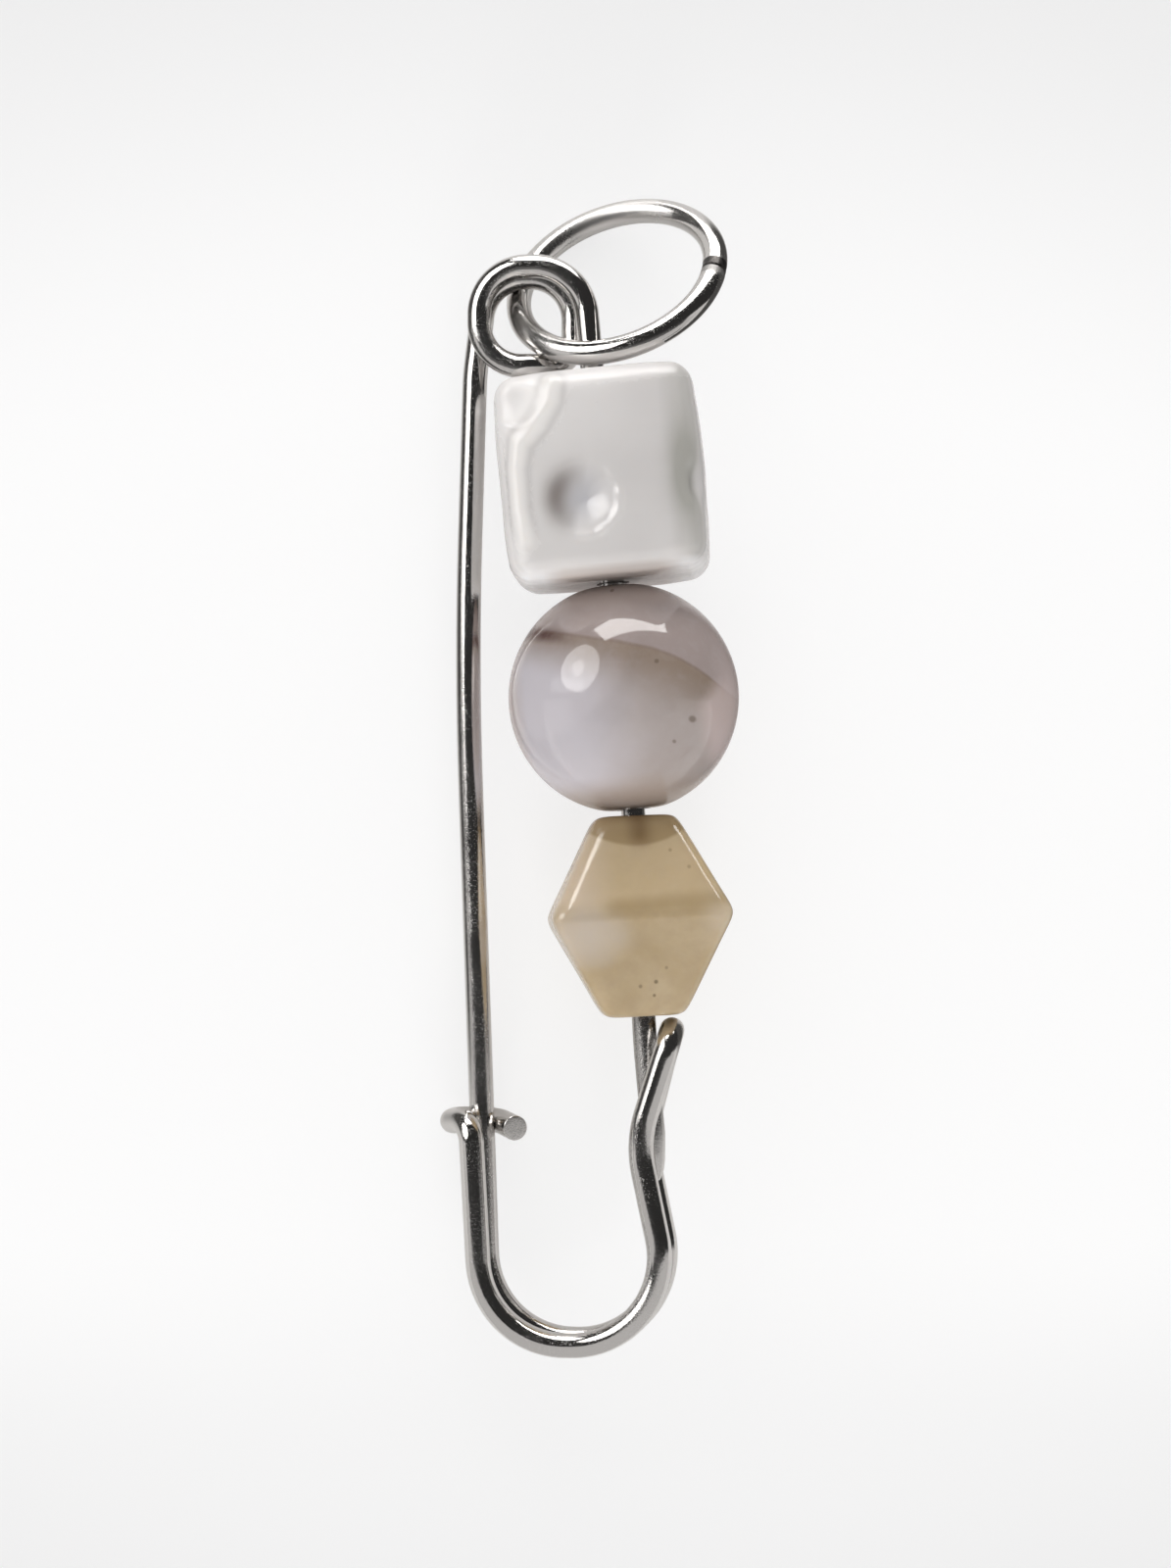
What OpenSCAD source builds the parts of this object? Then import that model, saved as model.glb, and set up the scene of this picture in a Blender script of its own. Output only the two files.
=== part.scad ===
// Beaded safety-pin brooch, lying on its back as it rests on a table.
// It is drawn in the pin's own frame and laid down at the end: X to the right,
// Y up the pin from the catch to the coil, Z out of the front, with the round
// bead's centre at zero. One bent wire makes the whole pin: needle, coil, back
// strand and the double hook that holds the needle's tip.

/* [Wire] */
// Diameter of the pin's wire
wire_d = 1.3; // [1.2:0.02:1.34]
// Diameter of the straightened needle
needle_d = 1.24; // [1.1:0.02:1.26]
// Free gap between strands or turns that lie side by side
lay_gap = 0.08; // [0.05:0.01:0.12]
// Length of the ground taper at the needle's tip
taper_l = 2.3; // [1.5:0.1:3]

/* [Round bead] */
// Diameter of the round bead
round_d = 12; // [11.8:0.1:12]
// Width of the flat ground round each hole
round_flat_d = 2.6; // [2:0.1:3.4]

/* [Cube bead] */
// Width across the cube bead
cube_w = 10.4; // [10.2:0.05:10.5]
// Height of the cube bead along the needle
cube_h = 10.7; // [10.5:0.05:10.7]
// Depth of the cube bead from front to back
cube_depth = 10.6; // [10.4:0.05:10.8]
// Radius of the cube's soft edges
cube_edge_r = 1.0; // [0.8:0.05:1.3]
// Diameter of the round thumb dent in the front
dent_d = 3.9; // [3:0.1:4.4]
// Depth of that dent
dent_deep = 0.75; // [0.4:0.05:1]

/* [Four-sided bead] */
// Width across the belt, from rounded corner to rounded corner
belt_w = 9.5; // [9.2:0.05:9.6]
// Width of the two flat ends
end_w = 4.2; // [3.8:0.1:4.6]
// Height of the bead along the needle
spindle_h = 10.4; // [10:0.05:10.4]
// Radius of its polished edges
spindle_edge_r = 0.6; // [0.4:0.05:0.7]

/* [Bores and ring] */
// Diameter of the holes through the beads
bore_d = 1.6; // [1.5:0.05:1.7]
// Centre-line radius of the jump ring
ring_r = 5.4; // [5.3:0.02:5.5]
// Wire diameter of the jump ring
ring_wire_d = 1.3; // [1.2:0.02:1.34]
// Width of the saw cut where the ring's ends meet
ring_cut = 0.06; // [0.03:0.01:0.2]

/* [Hidden] */
$fn = 48;
steel = [0.66, 0.66, 0.67];
// Sides of the wire's section, and the turn between two of its rings in a bend
wire_sides = 12;
bend_step = 10;

// Levels of the wire: the needle runs at 0, one lay behind the front strand and
// one lay in front of the back strand.
lay = wire_d + lay_gap;
front = lay;
back = -lay;

// Columns of a route: x, y, z of each corner, and the bend's radius there.
// The needle, from its tip up through the beads and once round the coil.
coil_x = -4.85;
seam_x = -5.08;
seam_gap = 0.03;
coil_foot_y = 17.45;
needle_route = [
    [1.87, -25, 0, 0],
    [1.22, -18, 0, 40],
    [0.58, -5, 0, 150],
    [-2.07, 22.7, 0, 2.9],
    [-7.57, 22.7, 0, 2.45],
    [-7.57, coil_foot_y, 0, 2.35],
    [seam_x, coil_foot_y, -0.02, 0]];

// The rest of the wire: second turn, back strand, catch, front strand, wrap.
frame_route = [
    [seam_x + seam_gap, coil_foot_y, -0.02, 0],
    [seam_x + 0.34, coil_foot_y, -0.02, 0.9],
    [-2.75, coil_foot_y - 0.1, back, 2.05],
    [-2.75, 22.35, back, 2.35],
    [-7.42, 22.35, back, 2.3],
    [-8.05, 17.2, back, 14],
    [-8.5, 2, back, 200],
    [-7.23, -33.5, back, 4.6],
    [3.16, -33.5, back, 4.6],
    [0.95, -23, back, 6],
    [2.42, -17.25, back, lay],
    [2.83, -17.25, front, lay],
    [1.01, -23, front, 6],
    [3.23, -33.5, front, 4.6],
    [-7.1, -33.5, front, 4.5],
    [-7.75, -22, front, 1.1],
    [-9.08, -22.1, -0.3, 1.2],
    [-9.08, -22.1, back - wire_d - 0.15, 1.3],
    [-7.0, -22.2, back - wire_d - 0.15, 1],
    [-5.7, -22.45, -0.4, 0]];

// Where each bead sits: height of its centre, lean of its axis and turn to the
// right about that axis.
round_y = 0;
cube_y = round_d / 2 + cube_h / 2 + 0.03;
spindle_y = -11.35;
upper_lean = 5.47;
lower_lean = 2.8;
cube_turn = 6.4;
spindle_turn = 11.4;
// Places of the dents on the cube's front, from its centre
dent_at = [-0.94, -1.45];
corner_dent_at = [-4.1, 3.8];
corner_dent_d = 2.3;
side_dent_at = [5.2, -1.1];
side_dent_d = 3.2;

// The ring hangs in the coil: its centre and the direction that it faces.
ring_at = [-0.54, 22.1, -1.75];
ring_normal = [-0.175, 0.62, 0.765];
ring_cut_turn = 254;

// Pose on the table: roll about the length, dip of the coil end, and lift.
rest_roll = -15.67;
rest_dip = -1.19;
rest_lift = round_d / 2;
// Half-way points of the laid part, which put the origin under its middle
mid_x = -1.563;
mid_y = -3.537;

function unit(v) = v / norm(v);
function xyz(row) = [row[0], row[1], row[2]];
function turn_angle(a, b, c) = acos(unit(b - a) * unit(c - b));
function needle_x(y) = let (a = needle_route[y > -5 ? 2 : 1], b = needle_route[y > -5 ? 3 : 2])
    a[0] + (b[0] - a[0]) * (y - a[1]) / (b[1] - a[1]);

// Unit direction at corner i of a route, before it (k = -1) or after it (k = 0)
function way(route, i, k) = unit(xyz(route[i + k + 1]) - xyz(route[i + k]));

// Stations round one corner: [point, direction] at even steps along its bend
function bend_stations(route, i) = let (
        u = way(route, i, -1),
        w = way(route, i, 0),
        turn = turn_angle(xyz(route[i - 1]), xyz(route[i]), xyz(route[i + 1])),
        n = unit(w - (u * w) * u),
        r = route[i][3],
        o = xyz(route[i]) - u * r * tan(turn / 2) + n * r,
        steps = max(4, ceil(turn / bend_step)))
    [for (k = [0 : steps]) let (t = turn * k / steps)
        [o + r * (sin(t) * u - cos(t) * n), cos(t) * u + sin(t) * n]];

// Stations of a whole route: its two ends and every bend
function stations(route) = [
    [xyz(route[0]), way(route, 0, 0)],
    for (i = [1 : len(route) - 2]) each bend_stations(route, i),
    [xyz(route[len(route) - 1]), way(route, len(route) - 1, -1)]];

// Side directions carried along the stations without twist
function carried(st) = [for (i = 0, n = unit(cross(st[0][1], [0.3, 0.2, 1]));
    i < len(st);
    i = i + 1, n = i < len(st) ? unit(n - (n * st[i][1]) * st[i][1]) : n) n];

// Round wire through the stations; radii gives the radius at each of them
module wire(st, radii) {
    side = carried(st);
    points = [for (i = [0 : len(st) - 1]) let (n = side[i], m = cross(st[i][1], n))
        for (k = [0 : wire_sides - 1]) let (t = 360 * k / wire_sides)
            st[i][0] + radii[i] * (cos(t) * n + sin(t) * m)];
    last = (len(st) - 1) * wire_sides;
    walls = [for (i = [0 : len(st) - 2], k = [0 : wire_sides - 1])
        let (a = i * wire_sides, b = (k + 1) % wire_sides)
            [a + k, a + wire_sides + k, a + wire_sides + b, a + b]];
    polyhedron(points, concat(
        [[for (k = [0 : wire_sides - 1]) k]],
        walls,
        [[for (k = [0 : wire_sides - 1]) last + wire_sides - 1 - k]]));
}

// Places a bead on the needle: its own Y runs up the needle, its Z to the front
module on_needle(y, lean, turn) {
    translate([needle_x(y), y, 0])
        rotate([0, 0, lean])
            rotate([0, turn, 0])
                children();
}

module bore(h) {
    rotate([-90, 0, 0])
        cylinder(h = h + 2, d = bore_d, center = true);
}

// Lays the pin on its back on the table
module laid() {
    translate([-mid_x, -mid_y, rest_lift])
        rotate([-rest_dip, 0, 0])
            rotate([0, rest_roll, 0])
                children();
}

module pin_frame() {
    st = stations(frame_route);
    color(steel) laid() wire(st, [for (i = st) wire_d / 2]);
}

module pin_needle() {
    st = stations(needle_route);
    u = st[0][1];
    tip = st[0][0];
    taper = [for (t = [0, 0.1, 0.3, 1]) [tip + u * t * taper_l, u]];
    taper_r = [0.15, 0.3, 0.45, 0.5 * needle_d];
    color(steel) laid()
        wire(concat(taper, [for (i = [1 : len(st) - 1]) st[i]]),
            concat(taper_r, [for (i = [1 : len(st) - 1]) needle_d / 2]));
}

// Ball that presses a dent of width d and this depth into the cube's front
module dent(at, d, deep) {
    r = (d * d / 4 + deep * deep) / (2 * deep);
    translate([at[0], at[1], cube_depth / 2 + r - deep])
        sphere(r = r);
}

module cube_bead() {
    x = cube_w / 2 - cube_edge_r;
    y = cube_h / 2 - cube_edge_r;
    z = cube_depth / 2 - cube_edge_r;
    color([0.93, 0.92, 0.89]) laid() on_needle(cube_y, upper_lean, cube_turn) difference() {
        hull()
            for (sx = [-1, 1], sy = [-1, 1], sz = [-1, 1])
                translate([sx * x, sy * y, sz * z])
                    sphere(r = cube_edge_r, $fn = 32);
        dent(dent_at, dent_d, dent_deep);
        dent(corner_dent_at, corner_dent_d, 0.35);
        dent(side_dent_at, side_dent_d, 0.5);
        bore(cube_h);
    }
}

module round_bead() {
    r = round_d / 2;
    flat_y = sqrt(r * r - pow(round_flat_d / 2, 2));
    color([0.77, 0.73, 0.74]) laid() on_needle(round_y, upper_lean, 0) difference() {
        sphere(d = round_d, $fn = 96);
        for (s = [-1, 1])
            translate([0, s * (flat_y + r), 0])
                cube(round_d, center = true);
        bore(round_d);
    }
}

module spindle_bead() {
    belt = belt_w / 2 - spindle_edge_r;
    end = end_w / 2 - spindle_edge_r / 2;
    y = spindle_h / 2 - spindle_edge_r;
    color([0.73, 0.66, 0.52]) laid() on_needle(spindle_y, lower_lean, spindle_turn) difference() {
        hull()
            for (sx = [-1, 1], sz = [-1, 1]) {
                translate([sx * belt, 0, sz * belt])
                    rotate([90, 0, 0])
                        sphere(r = spindle_edge_r, $fn = 24);
                for (sy = [-1, 1])
                    translate([sx * end, sy * y, sz * end])
                        rotate([90, 0, 0])
                            sphere(r = spindle_edge_r, $fn = 24);
            }
        bore(spindle_h);
    }
}

module jump_ring() {
    n = unit(ring_normal);
    cut_angle = 2 * asin(ring_cut / (2 * ring_r));
    color(steel) laid()
        translate(ring_at)
            rotate([0, acos(n[2]), atan2(n[1], n[0])])
                rotate([0, 0, ring_cut_turn + cut_angle / 2])
                    rotate_extrude(angle = 360 - cut_angle)
                        translate([ring_r, 0])
                            circle(d = ring_wire_d);
}

pin_frame();
pin_needle();
cube_bead();
round_bead();
spindle_bead();
jump_ring();
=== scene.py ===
import math

import bpy
import numpy as np
from mathutils import Matrix, Vector


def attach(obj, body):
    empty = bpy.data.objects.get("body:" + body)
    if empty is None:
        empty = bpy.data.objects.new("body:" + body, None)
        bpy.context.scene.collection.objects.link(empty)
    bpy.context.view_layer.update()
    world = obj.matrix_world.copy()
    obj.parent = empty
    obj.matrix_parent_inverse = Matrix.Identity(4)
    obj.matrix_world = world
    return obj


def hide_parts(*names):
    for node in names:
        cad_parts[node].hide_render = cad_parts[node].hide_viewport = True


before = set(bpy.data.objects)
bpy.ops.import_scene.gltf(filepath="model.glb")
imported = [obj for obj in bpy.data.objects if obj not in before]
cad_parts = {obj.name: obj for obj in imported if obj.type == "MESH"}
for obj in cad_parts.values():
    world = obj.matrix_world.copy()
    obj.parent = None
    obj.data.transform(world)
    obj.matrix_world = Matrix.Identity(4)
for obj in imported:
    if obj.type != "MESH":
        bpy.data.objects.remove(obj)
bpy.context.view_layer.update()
print("stage: frame loaded,", len(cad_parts), "nodes")

mm = 0.001

# how the brooch lies: everything is drawn in the pin's own frame in millimetres (X right, Y up
# the pin, Z out of its front, the round bead's centre at zero), then laid down on the table
pose = {"roll": -15.67, "dip": 1.19, "lift": 6.0, "middleX": -1.563, "middleY": -3.537}


def turnedBy(axis, degrees):
    # the usual rotation matrix about X, Y or Z
    c, s = math.cos(math.radians(degrees)), math.sin(math.radians(degrees))
    return np.array({"X": [[1, 0, 0], [0, c, -s], [0, s, c]],
                     "Y": [[c, 0, s], [0, 1, 0], [-s, 0, c]],
                     "Z": [[c, -s, 0], [s, c, 0], [0, 0, 1]]}[axis])


poseTurn = turnedBy("X", pose["dip"]) @ turnedBy("Y", pose["roll"])
poseShift = np.array([-pose["middleX"], -pose["middleY"], pose["lift"]])


def laid(points):
    # table point = tilt(dip) . tilt(roll) . point + shift, then millimetres to metres
    return (np.asarray(points, float) @ poseTurn.T + poseShift) * mm


def laidWay(direction):
    # the same tilts for a direction
    return Vector(poseTurn @ np.asarray(direction, float)).normalized()


def unit(v):
    # each vector divided by its length
    v = np.asarray(v, float)
    return v / np.linalg.norm(v, axis=-1, keepdims=True)


def bell(x, middle, width):
    # e to the minus square of the distance from the middle, counted in widths
    return np.exp(-((x - middle) / width) ** 2)


def ramp(x, start, full):
    # 0 at start and 1 at full, straight between and held outside, whichever way the two lie
    return np.clip((x - start) / (full - start), 0, 1)


def plotted(x, table):
    # the height at x of straight lines drawn through the table's (place, height) pairs
    return np.interp(x, *np.transpose(table))


# the camera stands where the photograph was taken from, in the pin's frame
view = {
    "place": (28.640, -9.592, 192.895), "target": (-1.8645, -4.4898, 0.2953),
    "focalPixels": 3823.3, "photoHeight": 1600, "sensor": 36, "clipStart": 0.01, "clipEnd": 20,
}

camData = bpy.data.cameras.new("camera")
camData.sensor_fit = "AUTO"  # the sensor spans the longer side, the photograph's height
camData.sensor_width = view["sensor"]
camData.lens = view["focalPixels"] * view["sensor"] / view["photoHeight"]
camData.clip_start, camData.clip_end = view["clipStart"], view["clipEnd"]
cameraObject = bpy.data.objects.new("camera", camData)
bpy.context.scene.collection.objects.link(cameraObject)
look = laidWay(np.subtract(view["target"], view["place"]))
camRight = look.cross(laidWay((0, 1, 0))).normalized()
camUp = camRight.cross(look)
placed = Matrix((camRight, camUp, -look)).transposed().to_4x4()
placed.translation = Vector(laid([view["place"]])[0])
cameraObject.matrix_world = placed
bpy.context.scene.camera = cameraObject
bpy.context.scene.view_settings.view_transform = "Standard"


# small helpers for node trees
def put(tree, value, socket):
    # a number or a colour goes into the socket itself, another node's output is linked to it
    if isinstance(value, bpy.types.NodeSocket):
        tree.links.new(value, socket)
    elif socket.type == "RGBA":
        socket.default_value = (*value, 1.0)
    else:
        socket.default_value = value


def addNode(tree, kind, **values):
    # values named as a socket go into it, all others are settings of the node
    node = tree.nodes.new(kind)
    for key, value in values.items():
        if key in node.inputs:
            put(tree, value, node.inputs[key])
        else:
            setattr(node, key, value)
    return node


def maths(tree, operation, *values):
    node = addNode(tree, "ShaderNodeMath", operation=operation)
    for value, socket in zip(values, node.inputs):
        put(tree, value, socket)
    return node.outputs[0]


def plus(tree, total, *others):
    for other in others:
        total = maths(tree, "ADD", total, other)
    return total


def minus(tree, a, b):
    return maths(tree, "SUBTRACT", a, b)


def times(tree, product, *others):
    for other in others:
        product = maths(tree, "MULTIPLY", product, other)
    return product


def ranged(tree, value, low, high, toLow, toHigh, smooth=False):
    # straight or smooth-step map of low..high on to toLow..toHigh, held at both ends
    node = addNode(tree, "ShaderNodeMapRange", interpolation_type="SMOOTHSTEP" if smooth else "LINEAR")
    for given, socket in zip((value, low, high, toLow, toHigh), node.inputs):
        put(tree, given, socket)
    return node.outputs[0]


def softEdge(tree, value, start, full, share=1.0):
    # 0 at start and the share at full, smooth between and held outside, whichever way they lie
    if start < full:
        return ranged(tree, value, start, full, 0.0, share, True)
    return ranged(tree, value, full, start, share, 0.0, True)


def dotWith(tree, vector, direction):
    node = addNode(tree, "ShaderNodeVectorMath", operation="DOT_PRODUCT")
    tree.links.new(vector, node.inputs[0])
    node.inputs[1].default_value = tuple(direction)
    return node.outputs["Value"]


def blended(tree, factor, a, b):
    # colour a where the factor is 0, colour b where it is 1
    node = addNode(tree, "ShaderNodeMix", data_type="RGBA")
    for value, socket in zip((factor, a, b), [s for s in node.inputs if s.enabled]):
        put(tree, value, socket)
    return [s for s in node.outputs if s.enabled][0]


def byRay(tree, ray, otherwise, shader):
    # one shader for rays of this kind and the other for all the rest
    node = addNode(tree, "ShaderNodeMixShader")
    path = addNode(tree, "ShaderNodeLightPath")
    for value, socket in zip((path.outputs[ray], otherwise, shader), node.inputs):
        put(tree, value, socket)
    return node.outputs[0]


def emptied(owner):
    # the node tree of a world or a material, with nothing in it yet
    owner.use_nodes = True
    owner.node_tree.nodes.clear()
    return owner.node_tree


# studio: in the steel's mirror a dark room with a paler band low at its sides; a soft even dome
# lights the rest, and the camera sees a pale backdrop
studio = {
    "domeLevel": 0.61, "domeColour": (1, 0.995, 0.99), "paleBackdrop": (0.93, 0.93, 0.94),
    "roomColour": (1.0, 0.98, 0.965), "roomDark": 0.03, "roomLow": 0.16, "horizon": (-0.5, 0.02),
    "sideLow": 0.76, "sideFrom": (0.74, 0.88), "sideTop": (0.01, -0.07),
    "lampColour": (1, 0.985, 0.97), "lampsAimAt": (0, 0, 0.008),
}

world = bpy.data.worlds.new("studio")
bpy.context.scene.world = world
tree = emptied(world)
direction = addNode(tree, "ShaderNodeTexCoord").outputs["Generated"]
upward = dotWith(tree, direction, camUp)
sideways = maths(tree, "ABSOLUTE", dotWith(tree, direction, camRight))
roomLevel = ranged(tree, upward, *studio["horizon"], studio["roomLow"], studio["roomDark"], True)
lowSide = times(tree, softEdge(tree, sideways, *studio["sideFrom"], studio["sideLow"]),
                softEdge(tree, upward, *studio["sideTop"]))
mirrorLight = addNode(tree, "ShaderNodeBackground", Color=studio["roomColour"],
                      Strength=maths(tree, "MAXIMUM", roomLevel, lowSide))
domeLight = addNode(tree, "ShaderNodeBackground", Color=studio["domeColour"], Strength=studio["domeLevel"])
backdropLight = addNode(tree, "ShaderNodeBackground", Color=studio["paleBackdrop"], Strength=1.0)
unseen = byRay(tree, "Is Glossy Ray", domeLight.outputs[0], mirrorLight.outputs[0])
allRays = byRay(tree, "Is Camera Ray", unseen, backdropLight.outputs[0])
tree.links.new(allRays, addNode(tree, "ShaderNodeOutputWorld").inputs[0])

# each softbox: degrees off the camera's line, degrees round it, distance, width and height in
# metres, radiance, shape, and whether it shows in mirrors or only lights the rest
softboxes = {
    "leftMirrored": (54.3, 146, 0.60, (0.43, 0.48), 4.4, "ELLIPSE", True),
    "leftCore": (55.3, 148, 0.58, (0.13, 0.15), 2.6, "ELLIPSE", True),
    "leftLighting": (54.3, 146, 0.60, (0.45, 0.47), 2.5, "ELLIPSE", False),
    "lowLeftMirrored": (60.5, 168.5, 0.60, (0.39, 0.126), 1.2, "RECTANGLE", True),
    "farMirrored": (79, 85, 0.50, (0.50, 0.185), 8.0, "RECTANGLE", True),
    "farLighting": (74, 86, 0.50, (0.60, 0.25), 2.4, "RECTANGLE", False),
    "footLighting": (77, -102, 0.50, (0.80, 0.16), 4.4, "RECTANGLE", False),
}


def softbox(name, offAxis, around, distance, size, radiance, shape, mirrored):
    # the panel faces the brooch with its own up along the camera's; its power is radiance . pi . area
    a, b = math.radians(offAxis), math.radians(around)
    way = -look * math.cos(a) + (camRight * math.cos(b) + camUp * math.sin(b)) * math.sin(a)
    area = size[0] * size[1] * (math.pi / 4 if shape == "ELLIPSE" else 1)
    data = bpy.data.lights.new(name, "AREA")
    data.shape = shape
    data.size, data.size_y = size
    data.energy = radiance * math.pi * area
    data.color = studio["lampColour"]
    light = bpy.data.objects.new(name, data)
    bpy.context.scene.collection.objects.link(light)
    across = camUp.cross(way).normalized()
    placed = Matrix((across, way.cross(across), way)).transposed().to_4x4()
    placed.translation = Vector(studio["lampsAimAt"]) + way * distance
    light.matrix_world = placed
    light.visible_camera = False
    light.visible_glossy, light.visible_diffuse = mirrored, not mirrored


for lampName, settings in softboxes.items():
    softbox(lampName, *settings)


def studioSheet(name, corners, paper):
    # a flat sheet between four corners, in metres
    mesh = bpy.data.meshes.new(name)
    mesh.from_pydata(corners, [], [(0, 1, 2, 3)])
    mesh.materials.append(paper)
    sheet = bpy.data.objects.new(name, mesh)
    bpy.context.scene.collection.objects.link(sheet)
    return sheet


def glowingPaper(name, colour, strength):
    # paper that gives off an even light of its own
    paper = bpy.data.materials.new(name)
    tree = emptied(paper)
    glow = addNode(tree, "ShaderNodeEmission", Color=colour, Strength=strength)
    tree.links.new(glow.outputs[0], addNode(tree, "ShaderNodeOutputMaterial").inputs[0])
    return paper


def showInMirrorsOnly(sheet):
    sheet.visible_camera = sheet.visible_diffuse = sheet.visible_shadow = False


# the pale floor glows a little, less so away from the brooch, and a painted shadow dims it below its
# foot; in the steel's mirror it is pale, but dark beside the brooch from the foot upwards; distances in
# metres
floorLook = {
    "half": 3, "colour": (0.30, 0.30, 0.302), "glow": 0.716,
    "shift": (0, 0.006, 0), "squeeze": (0.6, 1, 1), "fade": (0.026, 0.058), "edgeShare": 0.86,
    "below": (-0.036, -0.024), "belowShare": 0.945,
    "mirroredNear": (0.97, 0.96, 0.95), "mirroredFar": (0.10, 0.098, 0.095),
    "beside": (0.0075, 0.0125), "fromFoot": (-0.021, -0.013),
}


def floorPaper():
    # glow and colour = their full values . fade with distance . fade below the foot, a painted shadow
    paper = bpy.data.materials.new("paleFloor")
    tree = emptied(paper)
    place = addNode(tree, "ShaderNodeTexCoord").outputs["Object"]
    x, y = dotWith(tree, place, (1, 0, 0)), dotWith(tree, place, (0, 1, 0))
    oval = addNode(tree, "ShaderNodeMapping", Vector=place, Location=floorLook["shift"],
                   Scale=floorLook["squeeze"])
    away = addNode(tree, "ShaderNodeVectorMath", operation="LENGTH")
    tree.links.new(oval.outputs[0], away.inputs[0])
    around = ranged(tree, away.outputs["Value"], *floorLook["fade"], 1.0, floorLook["edgeShare"], True)
    # painted shadow: less glow and colour below the brooch's foot
    share = times(tree, around, ranged(tree, y, *floorLook["below"], floorLook["belowShare"], 1.0, True))
    colour = blended(tree, share, (0.0, 0.0, 0.0), floorLook["colour"])
    lit = addNode(tree, "ShaderNodeBsdfDiffuse", Color=colour)
    level = times(tree, share, floorLook["glow"])
    glow = addNode(tree, "ShaderNodeEmission", Color=(1, 1, 1), Strength=level)
    seen = addNode(tree, "ShaderNodeAddShader")
    tree.links.new(lit.outputs[0], seen.inputs[0])
    tree.links.new(glow.outputs[0], seen.inputs[1])
    darker = times(tree, softEdge(tree, maths(tree, "ABSOLUTE", x), *floorLook["beside"]),
                   softEdge(tree, y, *floorLook["fromFoot"]))
    colour = blended(tree, darker, floorLook["mirroredNear"], floorLook["mirroredFar"])
    mirrored = addNode(tree, "ShaderNodeBsdfDiffuse", Color=colour)
    allRays = byRay(tree, "Is Glossy Ray", seen.outputs[0], mirrored.outputs[0])
    tree.links.new(allRays, addNode(tree, "ShaderNodeOutputMaterial").inputs[0])
    return paper


half = floorLook["half"]
corners = [(-half, -half, 0), (half, -half, 0), (half, half, 0), (-half, half, 0)]
floor = studioSheet("floor", corners, floorPaper())

# a pale card standing below the brooch's foot, in the pin's frame
cardLook = {"half": 260, "foot": -40, "low": -3, "reach": 75, "colour": (1.0, 0.98, 0.965), "glow": 0.62}
half, foot, low, reach = (cardLook[key] for key in ("half", "foot", "low", "reach"))
corners = laid([(-half, foot, low), (half, foot, low), (half, foot, reach), (-half, foot, reach)])
card = studioSheet("card", corners.tolist(), glowingPaper("paleCard", cardLook["colour"], cardLook["glow"]))
showInMirrorsOnly(card)

# the lit table top before the far softbox carries its reflection on below the horizon
sill = {"corners": [(-17.4, 62), (38, 81), (520, 1160), (-400, 1290)], "height": 0.2, "radiance": 6.0}
corners = [(x * mm, y * mm, sill["height"] * mm) for x, y in sill["corners"]]
sillObject = studioSheet("sill", corners, glowingPaper("litTable", studio["lampColour"], sill["radiance"]))
showInMirrorsOnly(sillObject)
print("stage: camera, lights and floor")


# mesh helpers
def gridFaces(rows, columns, closedRows=False):
    # quads between neighbouring grid points; columns wrap round, rows only where they are closed
    i, j = np.meshgrid(np.arange(rows if closedRows else rows - 1), np.arange(columns), indexing="ij")
    i2, j2 = (i + 1) % rows, (j + 1) % columns
    corners = [i * columns + j, i * columns + j2, i2 * columns + j2, i2 * columns + j]
    return np.stack(corners, -1).reshape(-1, 4)


def newPiece(name, points, faces, attributes, material):
    # points in the pin's frame; the quads a, b, c, d are turned over where the volume inside
    # them, which goes as the sum of a . (b x c + c x d), comes out below zero
    corners = laid(points)
    a, b, c, d = (corners[faces[:, k]] for k in range(4))
    if (a * (np.cross(b, c) + np.cross(c, d))).sum() < 0:
        faces = faces[:, ::-1]
    mesh = bpy.data.meshes.new(name)
    mesh.vertices.add(len(corners))
    mesh.vertices.foreach_set("co", corners.ravel())
    mesh.loops.add(faces.size)
    mesh.loops.foreach_set("vertex_index", faces.ravel())
    mesh.polygons.add(len(faces))
    mesh.polygons.foreach_set("loop_start", np.arange(len(faces)) * 4)
    mesh.polygons.foreach_set("use_smooth", np.ones(len(faces), bool))
    for key, values in attributes.items():
        layer = mesh.attributes.new(key, "FLOAT", "POINT")
        layer.data.foreach_set("value", np.asarray(values, np.float32).ravel())
    mesh.update(calc_edges=True)
    mesh.validate()
    mesh.materials.append(material)
    piece = bpy.data.objects.new(name, mesh)
    bpy.context.scene.collection.objects.link(piece)
    return piece


# helpers for finishes
def newFinish(name):
    material = bpy.data.materials.new(name)
    material.use_nodes = True
    tree = material.node_tree
    shader = tree.nodes["Principled BSDF"]
    return material, tree, shader, addNode(tree, "ShaderNodeTexCoord").outputs["Object"]


def noise(tree, vector, scale, detail, roughness=0.5, distortion=0.0):
    return addNode(tree, "ShaderNodeTexNoise", Vector=vector, Scale=scale, Detail=detail,
                   Roughness=roughness, Distortion=distortion).outputs[0]


def bumped(tree, shader, height, strength, distance):
    node = addNode(tree, "ShaderNodeBump", Height=height, Strength=strength, Distance=distance)
    tree.links.new(node.outputs[0], shader.inputs["Normal"])


def attributeOf(tree, name):
    return addNode(tree, "ShaderNodeAttribute", attribute_name=name).outputs["Fac"]


def setOn(tree, shader, values):
    for name, value in values.items():
        put(tree, value, shader.inputs[name])


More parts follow.
